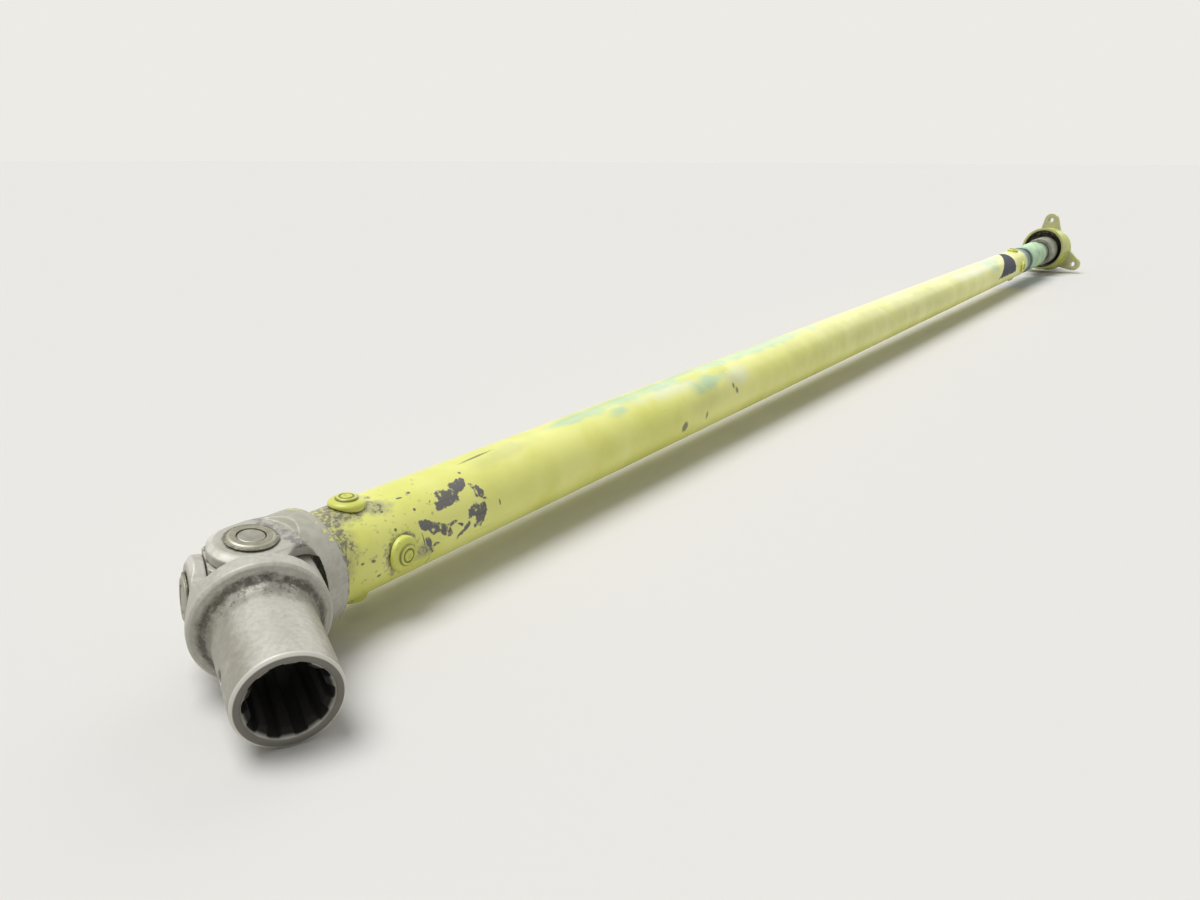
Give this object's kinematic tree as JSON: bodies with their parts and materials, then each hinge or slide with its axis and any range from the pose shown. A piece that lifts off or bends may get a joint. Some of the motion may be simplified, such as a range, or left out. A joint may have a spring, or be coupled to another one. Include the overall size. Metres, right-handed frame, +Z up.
{
  "type": "control rod",
  "caption": "Long torque tube with a bent pin-and-block universal joint and splined socket at one end and a splined stub in a self-aligning lugged bearing housing at the other.",
  "frame": {"origin": "centre of the splined stub's end face, at the far end of the rod", "axes": "+X along the tube from the universal joint to the stub, +Z up as the rod lies on a floor"},
  "size_m": [1.3287, 0.0888, 0.0733],
  "materials": {
    "tube_paint": "yellow-green primer paint on drawn tube, worn and grimy",
    "housing_paint": "yellow-green primer paint, rubbed pale on the lugs and rim",
    "washer_paint": "painted over with the tube",
    "rivet_paint": "painted over with the tube",
    "plated_forging": "dull plated forging with grease in its corners",
    "pin_steel": "ground pin with dull ends",
    "bush_bronze": "dull flanged bush",
    "shaft_plating": "pale green plating",
    "bearing_steel": "ground bearing steel under a film of grease",
    "seal_rubber": "moulded black seal",
    "cage_brass": "machined cage",
    "spring_steel": "dark oiled spring steel"
  },
  "bodies": {
    "rod": {"torque_tube": "tube_paint", "tube_yoke": "plated_forging", "tube_yoke_bush_a": "bush_bronze", "tube_yoke_bush_b": "bush_bronze", "near_rivet_upright": "rivet_paint", "near_rivet_level": "rivet_paint", "far_rivet_upright": "rivet_paint", "far_rivet_level": "rivet_paint", "near_washer_upright_a": "washer_paint", "near_washer_upright_b": "washer_paint", "near_washer_level_a": "washer_paint", "near_washer_level_b": "washer_paint", "far_washer_upright_a": "washer_paint", "far_washer_upright_b": "washer_paint", "far_washer_level_a": "washer_paint", "far_washer_level_b": "washer_paint", "bearing_shaft": "shaft_plating", "spacer_sleeve": "shaft_plating", "shaft_circlip": "spring_steel", "bearing_inner_ring": "bearing_steel"},
    "cross": {"cross_block": "plated_forging", "long_pin": "pin_steel", "short_pin_a": "pin_steel", "short_pin_b": "pin_steel", "pin_lock_rivet_a": "pin_steel", "pin_lock_rivet_b": "pin_steel"},
    "splined_end": {"splined_yoke": "plated_forging", "splined_yoke_bush_a": "bush_bronze", "splined_yoke_bush_b": "bush_bronze"},
    "ball_set": {"bearing_cage": "cage_brass", "bearing_ball_01": "bearing_steel", "bearing_ball_02": "bearing_steel", "bearing_ball_03": "bearing_steel", "bearing_ball_04": "bearing_steel", "bearing_ball_05": "bearing_steel", "bearing_ball_06": "bearing_steel", "bearing_ball_07": "bearing_steel", "bearing_ball_08": "bearing_steel", "bearing_ball_09": "bearing_steel", "bearing_ball_10": "bearing_steel", "bearing_ball_11": "bearing_steel", "bearing_ball_12": "bearing_steel", "bearing_ball_13": "bearing_steel", "bearing_ball_14": "bearing_steel"},
    "outer_ring": {"bearing_outer_ring": "bearing_steel", "bearing_seal_front": "seal_rubber", "bearing_seal_rear": "seal_rubber"},
    "housing": {"bearing_housing": "housing_paint", "aligning_race": "bearing_steel", "housing_retaining_ring": "spring_steel"}
  },
  "joints": [
    {"name": "fork_hinge", "type": "hinge", "parent": "rod", "child": "cross", "pos_m": [-1.2926, 0, 0], "axis": [0, -0.184, 0.9829], "range_deg": [-126, 2]},
    {"name": "cross_hinge", "type": "hinge", "parent": "cross", "child": "splined_end", "pos_m": [-1.2926, 0, 0], "axis": [-0.8829, 0.4615, 0.0864], "range_deg": [-15, 15]},
    {"name": "bearing_spin", "type": "hinge", "parent": "rod", "child": "outer_ring", "pos_m": [-0.0551, 0, 0], "axis": [1, 0, 0], "continuous": true},
    {"name": "ball_spin", "type": "hinge", "parent": "rod", "child": "ball_set", "pos_m": [-0.0551, 0, 0], "axis": [1, 0, 0], "continuous": true},
    {"name": "housing_tilt", "type": "hinge", "parent": "outer_ring", "child": "housing", "pos_m": [-0.0551, 0, 0], "axis": [0, 0.4478, -0.8942], "range_deg": [-23, 1]}
  ],
  "couplings": [
    {"joint": "ball_spin", "follows": "bearing_spin", "ratio": 0.5697}
  ]
}
